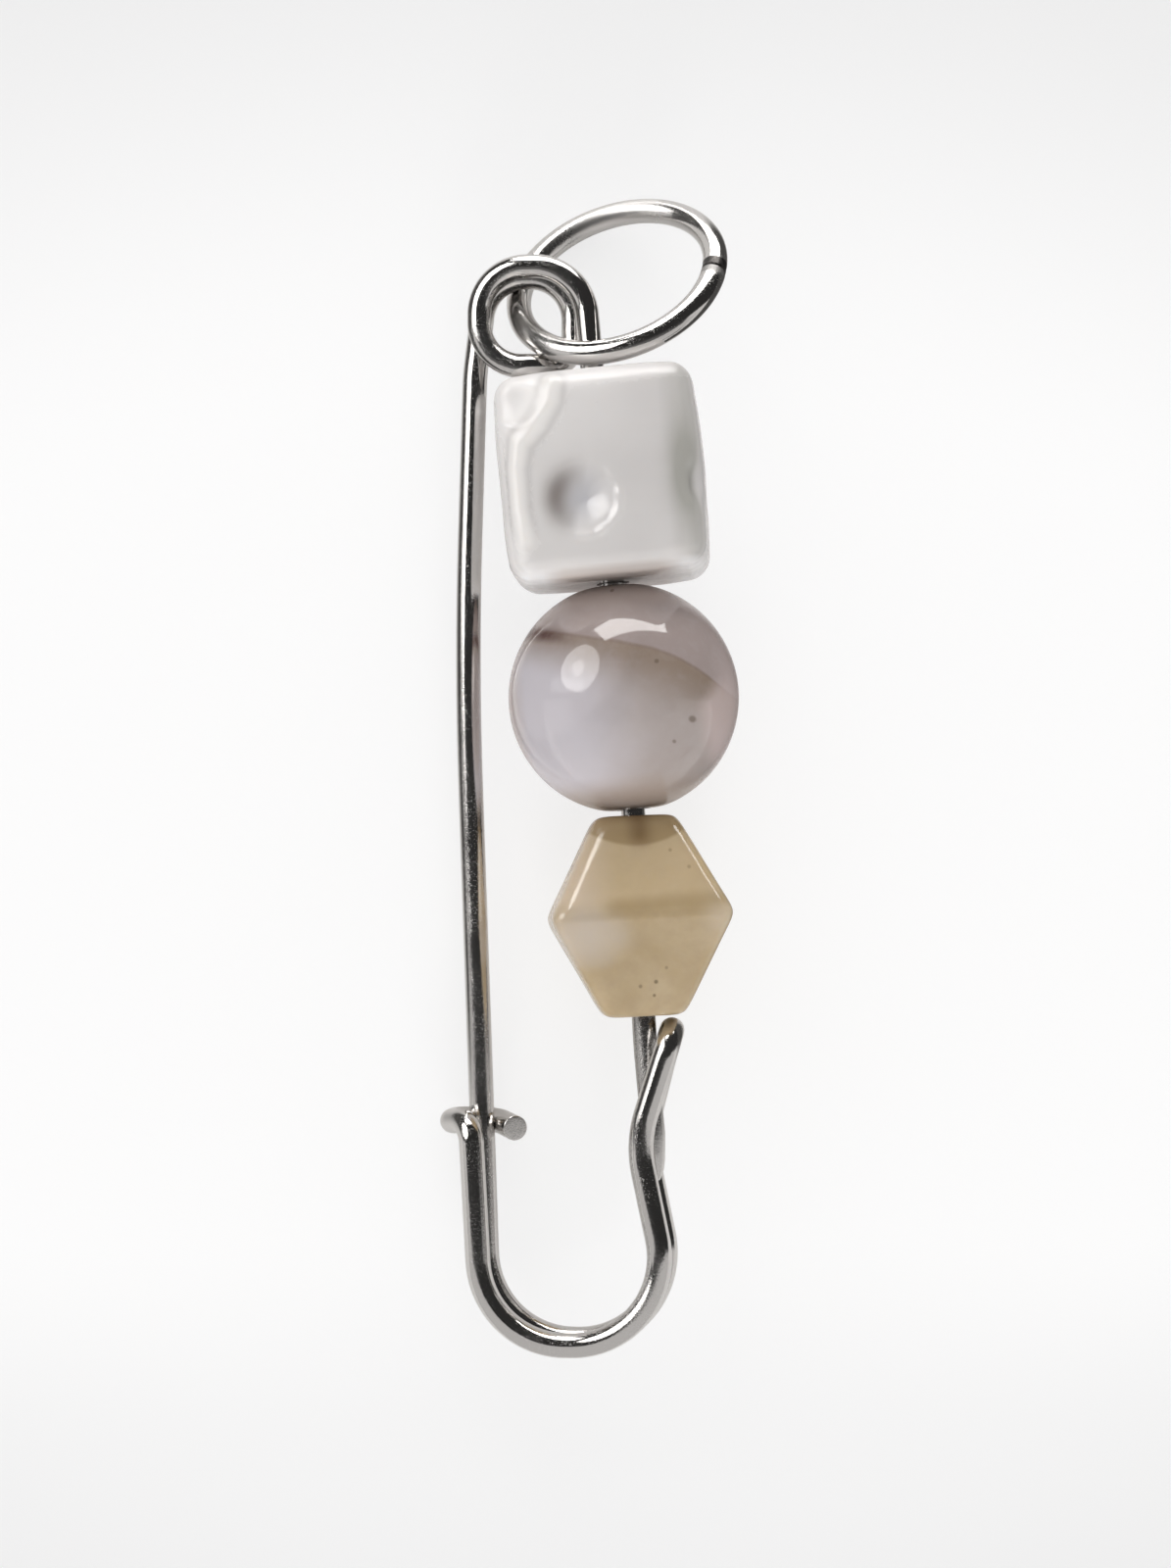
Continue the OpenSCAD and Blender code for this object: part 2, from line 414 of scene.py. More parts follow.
# polished stainless wire: near mirror, with fine pits and specks in patches; "worn" dulls it,
# "stain" darkens it and "satin" roughens it where the wires say so
steel = {
    "colour": (0.66, 0.645, 0.63), "stained": (0.035, 0.032, 0.03), "polish": 0.07, "dull": 0.30,
    "pitScale": 7000, "grainScale": 15000, "speckScale": 19000, "patchScale": 420, "clusterScale": 260,
    "speckRough": 0.25, "satinRough": 0.34, "stainRough": 0.18,
    "pitDepth": 0.35, "grainDepth": 1.4, "speckDepth": 0.3, "relief": 0.42, "reliefHeight": 0.00002,
}


def steelFinish(name):
    # roughness = polish + worn . grain + specks + satin + stain; height = pits + worn grain - specks
    material, tree, shader, place = newFinish(name)
    worn, satin, stain = (attributeOf(tree, key) for key in ("worn", "satin", "stain"))
    pits = noise(tree, place, steel["pitScale"], 3, 0.6)
    grain = noise(tree, place, steel["grainScale"], 2)
    patches = noise(tree, place, steel["patchScale"], 2)
    specks = times(tree, ranged(tree, noise(tree, place, steel["speckScale"], 1), 0.66, 0.72, 0.0, 1.0),
                   ranged(tree, noise(tree, place, steel["clusterScale"], 1), 0.40, 0.60, 0.25, 1.0))
    dullness = times(tree, worn, ranged(tree, patches, 0.35, 0.62, 0.45, 1.0))
    rough = plus(tree, ranged(tree, pits, 0.35, 0.75, steel["polish"] * 0.7, steel["polish"] * 1.7),
                 times(tree, dullness, ranged(tree, grain, 0.42, 0.70, 0.08, steel["dull"])),
                 times(tree, specks, steel["speckRough"]), times(tree, satin, steel["satinRough"]),
                 times(tree, stain, steel["stainRough"]))
    darkened = times(tree, stain, ranged(tree, grain, 0.40, 0.60, 1.0, 0.90))
    height = plus(tree, times(tree, pits, steel["pitDepth"]),
                  times(tree, grain, dullness, steel["grainDepth"]),
                  times(tree, specks, -steel["speckDepth"]))
    colour = blended(tree, darkened, steel["colour"], steel["stained"])
    setOn(tree, shader, {"Base Color": colour, "Roughness": rough, "Metallic": 1.0})
    bumped(tree, shader, height, steel["relief"], steel["reliefHeight"])
    return material


wireSteel = steelFinish("polishedSteel")

# the bent wire, from the same routes as the solids
wire = {
    "diameter": 1.3, "needleDiameter": 1.24, "layGap": 0.08, "seamX": -5.08, "coilFootY": 17.45,
    "sides": 40, "arcStep": 3.0, "straightStep": 0.5, "endRing": 0.004,  # degrees, then mm
    # ground tip: (mm from its end, share of the full radius)
    "tip": [(0, 0.24), (0.08, 0.36), (0.25, 0.48), (0.7, 0.73), (2.3, 1)],
    # at the seam each skin runs from a hair inside the other to a hair outside it, so that no edge
    # shows; the needle grows to the frame's wire on its last stretch
    "seamShares": (0.998, 1.001), "seamReach": 0.1, "frameSeam": 0.3, "needleSeam": 1.6,
    # rings that close an end: (mm past the end, share of the radius)
    "flatCap": [(0.03, 0.955), (0.034, 0.90), (0.034, 0.5), (0.034, 0.002)],
    "hiddenCap": [(0.001, 0.9), (0.001, 0.002)], "tipCap": [(0.05, 0.7), (0.07, 0.002)],
    # wear of the whole wire, and by height of the back strand and of the needle below the beads
    "frameWorn": 0.10, "spineWorn": [(-30, 0.35), (-22, 0.75), (-5, 0.55), (10, 0.12)],
    "needleWorn": 0.12, "lowerWorn": [(-25, 0.6), (-17, 1.0), (-15, 0.2)],
    # tool marks: share, height, width, and the x between which they lie
    "footMarks": [(0.8, -31.5, 1.6, 0, 9), (0.7, -23.2, 0.7, 0, 9), (0.5, -17.3, 1.2, 0, 9)],
    "coilMarks": [(0.75, 19.2, 1.1, -9, -6.2), (0.5, 17.8, 0.9, -4, -1.5)],
    "needleStain": [(-24.5, 0), (-21, 0.28), (-16.5, 0.28), (-15, 0)],
}
lay = wire["diameter"] + wire["layGap"]
front, back = lay, -lay
seamX, coilFootY = wire["seamX"], wire["coilFootY"]

# x, y, z and bend radius of each corner
needleRoute = [
    (1.87, -25, 0, 0), (1.22, -18, 0, 40), (0.58, -5, 0, 150), (-2.07, 22.7, 0, 2.9),
    (-7.57, 22.7, 0, 2.45), (-7.57, coilFootY, 0, 2.35), (seamX, coilFootY, -0.02, 0),
]
frameRoute = [
    (seamX - 0.1, coilFootY, -0.02, 0), (seamX + 0.46, coilFootY, -0.02, 1.6),
    (-2.75, coilFootY - 0.1, back, 1.7), (-2.75, 22.35, back, 2.35), (-7.42, 22.35, back, 2.3),
    (-8.05, 17.2, back, 14), (-8.5, 2, back, 200), (-7.23, -33.5, back, 4.6), (3.16, -33.5, back, 4.6),
    (0.95, -23, back, 6), (2.42, -17.25, back, lay), (2.83, -17.25, front, lay), (1.01, -23, front, 6),
    (3.23, -33.5, front, 4.6), (-7.1, -33.5, front, 4.5), (-7.75, -22, front, 1.1),
    (-9.08, -22.1, -0.3, 1.2), (-9.08, -22.1, back - 1.45, 1.3), (-7.0, -22.2, back - 1.45, 1),
    (-5.7, -22.45, -0.4, 0),
]


def routeLine(route):
    # each corner becomes an arc o + r (sin t . u - cos t . n); straights are filled at even steps
    table = np.array(route, float)
    spots, bends = table[:, :3], table[:, 3]
    knots = [spots[0]]
    for i in range(1, len(spots) - 1):
        u, w = unit(spots[i] - spots[i - 1]), unit(spots[i + 1] - spots[i])
        turn = math.acos(float(np.clip(u @ w, -1, 1)))
        n = unit(w - (u @ w) * u)
        o = spots[i] - u * bends[i] * math.tan(turn / 2) + n * bends[i]
        t = np.linspace(0, turn, max(8, math.ceil(math.degrees(turn) / wire["arcStep"])) + 1)[:, None]
        knots.extend(o + bends[i] * (np.sin(t) * u - np.cos(t) * n))
    knots.append(spots[-1])
    knots = np.array(knots)
    knots = knots[np.r_[True, np.linalg.norm(np.diff(knots, axis=0), axis=1) > 1e-4]]  # none twice
    lengths = np.linalg.norm(np.diff(knots, axis=0), axis=1)
    counts = np.maximum(1, np.ceil(lengths / wire["straightStep"]).astype(int))
    travelled = np.r_[0, np.cumsum(lengths)]
    filled = [travelled[i] + lengths[i] * np.arange(k) / k for i, k in enumerate(counts)]
    steps = np.concatenate(filled + [travelled[-1:]])
    return np.stack([np.interp(steps, travelled, knots[:, k]) for k in range(3)], 1), steps


def cappedEnds(line, radii, startCap, endCap):
    # the caps' rings go on past both ends of the line, along its first and last direction
    ways = unit(np.gradient(line, axis=0))
    startCap, endCap = np.array(startCap[::-1]), np.array(endCap)
    line = np.vstack([line[0] - startCap[:, :1] * ways[0], line, line[-1] + endCap[:, :1] * ways[-1]])
    radii = np.r_[radii[0] * startCap[:, 1], radii, radii[-1] * endCap[:, 1]]
    return line, np.pad(ways, ((len(startCap), len(endCap)), (0, 0)), "edge"), radii


def sweptWire(line, ways, radii):
    # ring i, side k: line[i] + radii[i] (cos t . n + sin t . m), with n carried along without twist
    n = unit(np.cross(ways[0], [0.3, 0.2, 1]))
    carried = []
    for way in ways:
        n = unit(n - (n @ way) * way)
        carried.append(n)
    n = np.array(carried)
    m = np.cross(ways, n)
    t = np.linspace(0, 2 * np.pi, wire["sides"], endpoint=False)
    ring = np.cos(t)[None, :, None] * n[:, None] + np.sin(t)[None, :, None] * m[:, None]
    return line[:, None] + radii[:, None, None] * ring


def wirePiece(name, route, radiusAlong, wornAlong, stainAlong, startCap, endCap):
    line, steps = routeLine(route)
    closer = np.sort(np.r_[steps, steps[0] + wire["endRing"], steps[-1] - wire["endRing"]])
    line = np.stack([np.interp(closer, steps, line[:, k]) for k in range(3)], 1)
    line, ways, radii = cappedEnds(line, radiusAlong(closer), startCap, endCap)
    points = sweptWire(line, ways, radii)
    print("stage:", name, len(line), "rings, bad points", int(np.isnan(points).any(-1).sum()))
    worn, stain = wornAlong(*line.T), stainAlong(line[:, 1])
    worn[:len(startCap)] = worn[-len(endCap):] = 1.0  # the ends are cut, not polished
    marks = {"worn": np.repeat(worn, wire["sides"]), "stain": np.repeat(stain, wire["sides"])}
    return newPiece(name, points.reshape(-1, 3), gridFaces(len(line), wire["sides"]), marks, wireSteel)


def toolMarks(x, y, marks):
    # sum of share . bell about the mark's height, each between its left and right end
    return sum(share * bell(y, height, width) * (x > left) * (x < right)
               for share, height, width, left, right in marks)


def frameWorn(x, y, z):
    # the tool marks sit at the bends; the long back strand is slightly dull towards its foot
    spine = (x < -6) & (z < -0.8) & (y < 16) & (y > -30)
    dull = np.where(spine, plotted(y, wire["spineWorn"]), wire["frameWorn"])
    return np.clip(dull + toolMarks(x, y, wire["footMarks"]), 0, 1)


def needleWorn(x, y, z):
    # dull below the beads and where the tool held the coil's first turn
    lower = plotted(y, wire["lowerWorn"]) * (y < -6)
    return np.clip(lower + wire["needleWorn"] + toolMarks(x, y, wire["coilMarks"]), 0, 1)


def frameStain(y):
    return np.zeros(len(y))


def needleStain(y):
    # handling has darkened the bare stretch under the beads
    return plotted(y, wire["needleStain"])


def needleRadius(steps):
    # full radius . tip's taper . growth to the frame's wire at the seam
    grown = wire["diameter"] / wire["needleDiameter"]
    inside, outside = wire["seamShares"]
    seam = [(0, grown * inside), (wire["seamReach"], grown * outside), (wire["needleSeam"], 1)]
    return wire["needleDiameter"] / 2 * plotted(steps, wire["tip"]) * plotted(steps[-1] - steps, seam)


def frameRadius(steps):
    # full radius, a hair less at the seam
    inside, outside = wire["seamShares"]
    seam = [(0, inside), (wire["seamReach"], outside), (wire["frameSeam"], 1)]
    return wire["diameter"] / 2 * plotted(steps, seam)


pinWire = wirePiece("pinWire", frameRoute, frameRadius, frameWorn, frameStain,
                    wire["hiddenCap"], wire["flatCap"])
needleWire = wirePiece("needleWire", needleRoute, needleRadius, needleWorn, needleStain,
                       wire["tipCap"], wire["hiddenCap"])
print("stage: bent wire")

# jump ring: a round wire ring with a ground butt joint; places along it are in millimetres from
# the joint, more going up the picture
ring = {
    "at": (-0.54, 22.1, -1.75), "normal": (-0.175, 0.62, 0.765), "radius": 5.4, "wire": 1.3,
    "cutTurn": 251.6, "rows": 640, "sides": 48, "evenRows": 0.35,
    "pinches": [(0.12, 0, 0.05), (0.02, 0.3, 0.22)],  # share of the wire's radius, place, width
    "stain": [(-0.56, 0), (-0.50, 0.58), (-0.04, 0.58), (0.02, 1), (0.56, 1), (0.62, 0)],
    "worn": 0.12, "ground": 1.2, "groundWide": 0.7, "rubbedAt": (-4.2, 18.9), "rubbedWide": 1.6,
    "satinBand": (-0.27, 0.27), "farSatin": 0.75, "farHeight": (23.2, 25.8), "farSide": (3.2, 0.8),
}


def jumpRing():
    # point(a, b) = centre + (R + r cos b) (cos a . e1 + sin a . e2) + r sin b . normal, with r
    # pinched in a hair at the joint and the rows gathered there
    n = unit(ring["normal"])
    tilt, spin = math.acos(n[2]), math.atan2(n[1], n[0])
    e1 = np.array([math.cos(tilt) * math.cos(spin), math.cos(tilt) * math.sin(spin), -math.sin(tilt)])
    e2 = np.array([-math.sin(spin), math.cos(spin), 0])
    start = math.radians(ring["cutTurn"])
    share = np.linspace(-1, 1, ring["rows"], endpoint=False)
    a = start + np.pi * (ring["evenRows"] * share + (1 - ring["evenRows"]) * share ** 3)
    b = np.linspace(0, 2 * np.pi, ring["sides"], endpoint=False)
    along = (a - start) * ring["radius"]
    r = ring["wire"] / 2 * (1 - sum(deep * bell(along, at, wide) for deep, at, wide in ring["pinches"]))
    A, B = np.meshgrid(a, b, indexing="ij")
    R = ring["radius"] + r[:, None] * np.cos(B)
    points = (np.array(ring["at"]) + (R * np.cos(A))[..., None] * e1 + (R * np.sin(A))[..., None] * e2
              + (r[:, None] * np.sin(B))[..., None] * n)
    x, y, z = points.mean(1).T
    ground = ring["ground"] * bell(along, 0, ring["groundWide"])
    fromRub = np.hypot(x - ring["rubbedAt"][0], y - ring["rubbedAt"][1])
    rubbed = bell(fromRub, 0, ring["rubbedWide"]) * (z > ring["at"][2])
    farArc = ramp(y, *ring["farHeight"]) * ramp(x, *ring["farSide"])
    marks = {"worn": ring["worn"] + ground + rubbed, "stain": plotted(along, ring["stain"]),
             "satin": farArc * ring["farSatin"] + bell(along, *ring["satinBand"])}
    marks = {key: np.repeat(np.clip(values, 0, 1), ring["sides"]) for key, values in marks.items()}
    return newPiece("ringWire", points.reshape(-1, 3), gridFaces(ring["rows"], ring["sides"], True),
                    marks, wireSteel)


ringWire = jumpRing()
print("stage: jump ring")

# beads: their hole, and how far the needle leans under the upper two and under the lowest
beads = {"bore": 1.6, "rimSoft": 0.10, "holeStep": 1.2, "upperLean": 5.47, "lowerLean": 2.8}


def needleX(y):
    # the needle's middle at this height, on the straight between two corners of its route
    a, b = (needleRoute[2], needleRoute[3]) if y > -5 else (needleRoute[1], needleRoute[2])
    return a[0] + (b[0] - a[0]) * (y - a[1]) / (b[1] - a[1])


def seatTurn(lean, turn):
    # turned about the bead's own Y, then leaned in the pin's plane
    return turnedBy("Z", lean) @ turnedBy("Y", turn)


def onNeedle(points, y, lean, turn):
    # pin point = seat turn . bead point + the needle's middle at that height
    return points @ seatTurn(lean, turn).T + np.array([needleX(y), y, 0])


def beadDirections(rows, columns, reach):
    # a grid of directions about the bead's Y axis: (sin a sin b, cos a, sin a cos b),
    # from the rim of the upper hole to the rim of the lower one
    rim = math.atan2(beads["bore"] / 2 + beads["rimSoft"], reach)
    b = np.linspace(0, 2 * np.pi, columns, endpoint=False)
    A, B = np.meshgrid(np.linspace(rim, math.pi - rim, rows), b, indexing="ij")
    return np.stack([np.sin(A) * np.sin(B), np.cos(A), np.sin(A) * np.cos(B)], -1)


def withBore(skin):
    # joins the two rims by the hole's wall, so that the bead is one closed skin
    columns = skin.shape[1]
    b = np.linspace(0, 2 * np.pi, columns, endpoint=False)
    r, soft, step = beads["bore"] / 2, beads["rimSoft"], beads["holeStep"]
    top, bottom = skin[0, :, 1].mean(), skin[-1, :, 1].mean()
    lead = soft * 0.3  # the rim's rounding into the hole
    levels = [bottom + lead, bottom + soft, bottom + step, 0.0, top - step, top - soft, top - lead]
    wide = [r + lead, r, r, r, r, r, r + lead]
    walls = [np.stack([w * np.sin(b), np.full(columns, y), w * np.cos(b)], -1)
             for y, w in zip(levels, wide)]
    return np.concatenate([skin, np.array(walls)])


def beadPiece(name, local, seat, attributes, material):
    rows, columns = local.shape[:2]
    points = onNeedle(local.reshape(-1, 3), *seat)
    return newPiece(name, points, gridFaces(rows, columns, True), attributes, material)


def ripple(p, seed, wave):
    # slow unevenness: a sum of sines of the place, between about -1 and 1
    rng = np.random.default_rng(seed)
    k = rng.normal(size=(5, 3)) * (2 * np.pi / wave)
    shift = rng.uniform(0, 2 * np.pi, 5)
    return np.sin(p @ k.T + shift).mean(-1)


def distanceToLine(x, y, spots):
    # least distance from (x, y) to the run of straight pieces between the spots
    spots = np.array(spots, float)
    p = np.stack([x, y], -1)[..., None, :]
    a, d = spots[:-1], np.diff(spots, axis=0)
    t = np.clip(((p - a) * d).sum(-1) / (d * d).sum(-1), 0, 1)
    return np.linalg.norm(p - (a + t[..., None] * d), axis=-1).min(-1)


# glazed cube, in its own millimetres: X right, Y up, Z out of its front
cube = {
    "wide": 10.5, "tall": 10.84, "deep": 10.64, "edge": 1.25, "rows": 230, "columns": 400,
    "seat": (11.38, beads["upperLean"], 6.4),
    "pillow": 0.13, "pillowFrom": 0.42, "highest": 0.14, "frontSunk": 0.09, "frontFrom": (3.6, 4.6),
    # x, y, half width and depth of the dents, and the height of the glaze round them
    "dent": (-0.94, -1.45, 1.95, 0.50), "dentLip": 0.12,
    "cornerDent": (-4.02, 3.84, 1.25, 0.24), "cornerLip": 0.10,
    # depth, place and width of the dents in the right edge
    "edgeDents": [(0.42, (5.3, -1.15, 4.7), 0.95), (0.10, (4.4, -0.2, 5.2), 1.2)],
    # the run of glaze down the left, its height and width, and the slump of the face beside it
    "ridge": [(-2.0, 4.7), (-2.2, 3.75), (-2.95, 2.6), (-3.95, 1.65), (-4.3, 0.35), (-4.36, -1.7),
              (-4.15, -3.3)],
    "ridgeHigh": 0.22, "ridgeWide": 0.42, "slump": 0.16, "rightSwell": 0.10,
    # the underside's painted light: from which height, about which x, and how far to its sides
    "underFrom": (-4.75, -5.25), "underX": 0.2, "underReach": (3.6, 2.4),
    "ripples": [(0.045, 4, 8.0), (0.012, 9, 2.6)],  # height, seed, wave length
}


def cubeSkin():
    # a direction is run out to the sharp box, pulled in to the core, and put back one edge radius
    # along the way from core to box; dents and runs of glaze move it along that same way
    half = np.array([cube["wide"], cube["tall"], cube["deep"]]) / 2
    way = beadDirections(cube["rows"], cube["columns"], half[1])
    sharp = way / np.abs(way / half).max(-1, keepdims=True)
    core = np.clip(sharp, cube["edge"] - half, half - cube["edge"])
    normal = unit(sharp - core)
    p = core + cube["edge"] * normal
    x, y, z = np.moveaxis(p, -1, 0)
    facing = ramp(z, *cube["frontFrom"]) ** 2

    # the round dent: a steep wall away from the light and a gentle one towards it, with a lip
    cx, cy, wide, deep = cube["dent"]
    angle = np.arctan2(y - cy, x - cx)
    r = np.hypot(x - cx, y - cy) / wide
    toLight = 0.5 + 0.5 * np.cos(angle + 0.55) * ramp(r, 0, 0.25)
    steep = np.clip(1 - r ** 2, 0, 1) ** 1.2
    gentle = np.clip(bell(r, 0, 0.55) - bell(1, 0, 0.55), 0, 1)
    bowl = deep * ((1 - toLight) * steep + toLight * gentle)
    lower = np.clip(0.30 + 0.75 * np.cos(angle + 0.80), 0, 1) * (0.75 + 0.25 * np.sin(11 * angle + 1))
    lip = cube["dentLip"] * bell(r, 0.97, 0.10) * lower

    # the corner dent with the glaze heaped below it
    kx, ky, kWide, kDeep = cube["cornerDent"]
    kr = np.hypot(x - kx, y - ky) / kWide
    corner = kDeep * np.clip(1 - kr ** 2, 0, 1) ** 1.3
    below = np.clip(-0.1 - 1.1 * np.sin(np.arctan2(y - ky, x - kx) + 0.15), 0, 1)
    cornerLip = cube["cornerLip"] * bell(kr, 1.08, 0.16) * below

    gap = distanceToLine(x, y, cube["ridge"])
    run = cube["ridgeHigh"] * bell(gap, 0, cube["ridgeWide"]) * ramp(y, -4.2, -2.8)
    slump = cube["slump"] * ramp(x, -3.9, -5.2) * ramp(y, 3.0, 1.0)
    u = ramp(np.abs(p) / half, cube["pillowFrom"], 1)
    swell = u * u * (3 - 2 * u)
    pillow = cube["pillow"] * (swell.sum(-1) - swell.max(-1))
    lift = (-bowl + lip - corner + cornerLip + run - slump - cube["frontSunk"]) * facing - pillow
    for depth, place, width in cube["edgeDents"]:
        lift = lift - depth * bell(np.linalg.norm(p - np.array(place), axis=-1), 0, width)
    for height, seed, wave in cube["ripples"]:
        lift = lift + height * ripple(p, seed, wave)
    lift = lift + cube["rightSwell"] * bell(y, 0.6, 2.6) * ramp(x, 4.2, 5.2)

    # where the glaze is tinted, all between 0 and 1; several of these marks paint light and shade on it
    # painted light: the upper left of the front and its left edge paler, as if lit from the left
    upperLeft = ramp(x, 1.8, -4.2) * 0.5 + 0.6 * ramp(y, 0.8, 4.2) * ramp(x, 3.4, 0.4)
    # a greenish-grey patch at mid right, and painted shade down the right side of the front
    patchAndRightShade = bell(x, 4.3, 0.85) * bell(y, -0.6, 2.3) + 0.55 * ramp(x, 3.3, 4.7)
    marks = {
        # the round dent a darker, bluer grey; paler along the run of glaze: the glaze's own ivory with a
        # painted highlight on its ridge
        "dentTone": bowl / deep * facing, "run": bell(gap, 0, 0.45) * facing,
        # painted shade on the dent's steep left wall
        "wall": np.clip(-np.cos(angle + 0.25), 0, 1) * bell(r, 0.72, 0.34) * facing,
        "soft": np.clip((bell(gap, 0, 0.75) + bell(kr, 0, 1.5)) * facing + bell(y, 5.0, 0.65), 0, 1),
        # painted shade in soft lines on both sides of the run of glaze
        "flankShade": bell(gap, 0.66, 0.2) * ramp(y, -3.4, -2.2) * facing,
        "patchAndShade": np.clip(patchAndRightShade, 0, 1) * facing,
        "upperLeftLight": np.clip(upperLeft + ramp(x, -3.6, -5.2), 0, 1) * facing,
    }
    return p + normal * np.minimum(lift, cube["highest"])[..., None], marks


glaze = {
    "cloudScale": 190, "fineScale": 2600, "darker": (0.69, 0.667, 0.658), "paler": (0.75, 0.727, 0.717),
    # how strongly each mark of the skin tints the glaze, and its colour
    "marks": {
        "upperLeftLight": (0.75, (0.88, 0.86, 0.85)), "dentTone": (0.65, (0.54, 0.54, 0.58)),
        "wall": (0.9, (0.25, 0.22, 0.205)), "patchAndShade": (0.76, (0.33, 0.325, 0.29)),
        "flankShade": (0.42, (0.50, 0.48, 0.47)), "run": (0.9, (0.90, 0.875, 0.85)),
        "edge": (1.0, (0.94, 0.94, 0.95)), "under": (0.9, (0.66, 0.60, 0.56)),
    },
    "speckScale": 430, "speckSize": (0.03, 0.055), "speckShare": 0.55, "clusterScale": 260,
    "speckColour": (0.36, 0.33, 0.28), "rough": (0.16, 0.24), "softRough": 0.22, "coat": (0.28, 0.04),
    "fineRelief": 0.04, "relief": 0.25, "reliefHeight": 0.00012,
    "sockets": {"Subsurface Weight": 0.25, "Subsurface Radius": (1.0, 0.9, 0.8),
                "Subsurface Scale": 0.0009, "Coat Roughness": 0.07},
}


def porcelainFinish():
    # cloudy ivory, tinted by the marks, which paint light and shade in places, with rare specks; "soft"
    # marks are rougher and less coated
    material, tree, shader, place = newFinish("ivoryGlaze")
    clouds, fine = noise(tree, place, glaze["cloudScale"], 3), noise(tree, place, glaze["fineScale"], 2)
    body = blended(tree, ranged(tree, clouds, 0.35, 0.7, 0.0, 1.0), glaze["darker"], glaze["paler"])
    for mark, (share, colour) in glaze["marks"].items():
        body = blended(tree, times(tree, attributeOf(tree, mark), share), body, colour)
    cells = addNode(tree, "ShaderNodeTexVoronoi", Vector=place, Scale=glaze["speckScale"])
    dots = ranged(tree, cells.outputs["Distance"], *glaze["speckSize"], glaze["speckShare"], 0.0)
    rare = ranged(tree, noise(tree, place, glaze["clusterScale"], 0), 0.60, 0.64, 0.0, 1.0)
    body = blended(tree, times(tree, dots, rare), body, glaze["speckColour"])
    soft = attributeOf(tree, "soft")
    rough = plus(tree, ranged(tree, fine, 0.3, 0.8, *glaze["rough"]), times(tree, soft, glaze["softRough"]))
    coat = ranged(tree, soft, 0.0, 1.0, *glaze["coat"])
    setOn(tree, shader, {"Base Color": body, "Roughness": rough, "Coat Weight": coat, **glaze["sockets"]})
    height = plus(tree, clouds, times(tree, fine, glaze["fineRelief"]))
    bumped(tree, shader, height, glaze["relief"], glaze["reliefHeight"])
    return material


def cubeBead():
    # the front's marks are nought in the hole; the underside gets painted light at its sides, and painted
    # shade with a warm painted reflection of the round bead in its middle
    skin, marks = cubeSkin()
    local = withBore(skin)
    hole = np.zeros((len(local) - len(skin), cube["columns"]))
    marks = {key: np.concatenate([values, hole]) for key, values in marks.items()}
    foot = ramp(local[..., 1], *cube["underFrom"])
    middle = ramp(np.abs(local[..., 0] - cube["underX"]), *cube["underReach"])
    # painted light on the underside's outer parts; painted shade and a warm painted reflection of the round
    # bead below in its middle
    marks["edge"], marks["under"] = foot * (1 - middle), foot * middle
    return beadPiece("glazedCube", local, cube["seat"], marks, porcelainFinish())


cubePiece = cubeBead()
print("stage: glazed cube")


def localPlace(tree, place, y, lean, turn):
    # the bead's own coordinates in millimetres, from the laid object coordinates in metres
    toPin = poseTurn @ seatTurn(lean, turn)
    shifted = addNode(tree, "ShaderNodeVectorMath", operation="SUBTRACT")
    tree.links.new(place, shifted.inputs[0])
    shifted.inputs[1].default_value = tuple(laid([[needleX(y), y, 0]])[0])
    parts = [dotWith(tree, shifted.outputs[0], toPin[:, k] / mm) for k in range(3)]
    own = addNode(tree, "ShaderNodeCombineXYZ")
    for part, socket in zip(parts, own.inputs):
        tree.links.new(part, socket)
    return own.outputs[0], parts


def awayFrom(tree, value, middle):
    return maths(tree, "ABSOLUTE", minus(tree, value, middle))


def tinted(tree, body, tint, along, *within):
    # lays a tint over the body by its soft edge along this measure, and within any further masks
    colour, share, start, full = tint
    return blended(tree, times(tree, softEdge(tree, along, start, full, share), *within), body, colour)


def specked(tree, body, parts, specks, colour):
    # small round inclusions on the front, each with its x, y, radius and share
    x, y, z = parts
    inFront = ranged(tree, z, 0.0, 0.5, 0.0, 1.0)
    for atX, atY, radius, share in specks:
        ax, ay = minus(tree, x, atX), minus(tree, y, atY)
        apart = maths(tree, "SQRT", plus(tree, times(tree, ax, ax), times(tree, ay, ay)))
        body = tinted(tree, body, (colour, share, radius, radius * 0.35), apart, inFront)
    return body


def stoneSurface(tree, shader, body, fine, stone):
    # the colour, with the fine grain in the polish and in the relief
    rough = ranged(tree, fine, 0.3, 0.8, *stone["rough"])
    setOn(tree, shader, {"Base Color": body, "Roughness": rough, **stone["sockets"]})
    bumped(tree, shader, fine, stone["relief"], stone["reliefHeight"])


